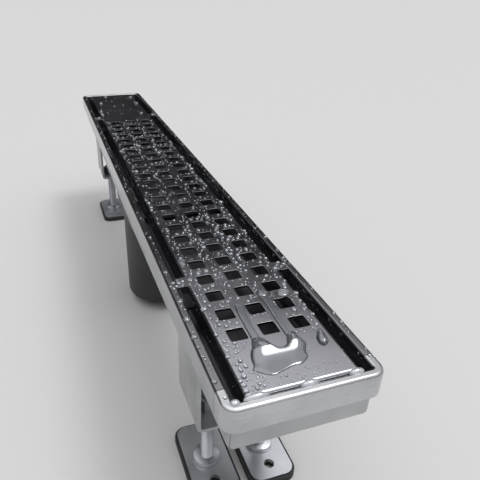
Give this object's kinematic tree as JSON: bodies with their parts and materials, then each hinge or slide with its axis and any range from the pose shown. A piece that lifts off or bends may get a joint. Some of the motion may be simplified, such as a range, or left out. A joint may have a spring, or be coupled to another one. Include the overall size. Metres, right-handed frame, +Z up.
{
  "type": "channel drain",
  "caption": "Linear shower drain: steel rim frame and trough, lift-out grate with square holes, bottle trap with side outlet, height-adjustable feet.",
  "frame": {"origin": "centre of the four floor fixing holes, on the floor under the rubber pads", "axes": "+Z up to the rim, +Y along the drain to the end that is far in the picture, +X across it to the side that the outlet spigot leaves"},
  "size_m": [0.099, 0.515, 0.125],
  "materials": {
    "frame_steel": "satin stainless",
    "grate_steel": "satin stainless",
    "trough_steel": "matt pickled stainless",
    "sieve_steel": "satin stainless",
    "screw_steel": "bright stainless",
    "zinc_plate": "bright zinc plated",
    "trap_plastic": "moulded, fine texture",
    "dip_tube_plastic": "moulded, smooth",
    "seal_rubber": "matt",
    "pad_rubber": "matt",
    "water": "clear water drops"
  },
  "bodies": {
    "channel": {"frame_end_near": "frame_steel", "frame_end_far": "frame_steel", "frame_rail_left": "frame_steel", "frame_rail_right": "frame_steel", "channel_trough": "trough_steel", "grate_saddle_near": "trough_steel", "grate_saddle_far": "trough_steel", "grate": "grate_steel", "outlet_plate": "trough_steel", "trap_gasket": "seal_rubber", "trap_screw_1": "screw_steel", "trap_screw_2": "screw_steel", "trap_screw_3": "screw_steel", "trap_screw_4": "screw_steel", "trap_flange": "trap_plastic", "trap_housing": "trap_plastic", "outlet_spigot": "trap_plastic", "dip_tube": "dip_tube_plastic", "dip_tube_seal": "seal_rubber", "hair_sieve": "sieve_steel", "foot_bracket_near": "trough_steel", "foot_bracket_far": "trough_steel", "foot_nut_1": "zinc_plate", "foot_nut_2": "zinc_plate", "foot_nut_3": "zinc_plate", "foot_nut_4": "zinc_plate", "foot_locknut_1": "zinc_plate", "foot_locknut_2": "zinc_plate", "foot_locknut_3": "zinc_plate", "foot_locknut_4": "zinc_plate"},
    "foot_1": {"foot_stud_1": "zinc_plate", "foot_plate_1": "zinc_plate", "foot_pad_1": "pad_rubber"},
    "foot_2": {"foot_stud_2": "zinc_plate", "foot_plate_2": "zinc_plate", "foot_pad_2": "pad_rubber"},
    "foot_3": {"foot_stud_3": "zinc_plate", "foot_plate_3": "zinc_plate", "foot_pad_3": "pad_rubber"},
    "foot_4": {"foot_stud_4": "zinc_plate", "foot_plate_4": "zinc_plate", "foot_pad_4": "pad_rubber"}
  },
  "joints": [
    {"name": "foot_1_height", "type": "slide", "parent": "channel", "child": "foot_1", "axis": [0, 0, 1], "range_m": [0, 0.03]},
    {"name": "foot_2_height", "type": "slide", "parent": "channel", "child": "foot_2", "axis": [0, 0, 1], "range_m": [0, 0.03]},
    {"name": "foot_3_height", "type": "slide", "parent": "channel", "child": "foot_3", "axis": [0, 0, 1], "range_m": [0, 0.03]},
    {"name": "foot_4_height", "type": "slide", "parent": "channel", "child": "foot_4", "axis": [0, 0, 1], "range_m": [0, 0.03]}
  ]
}
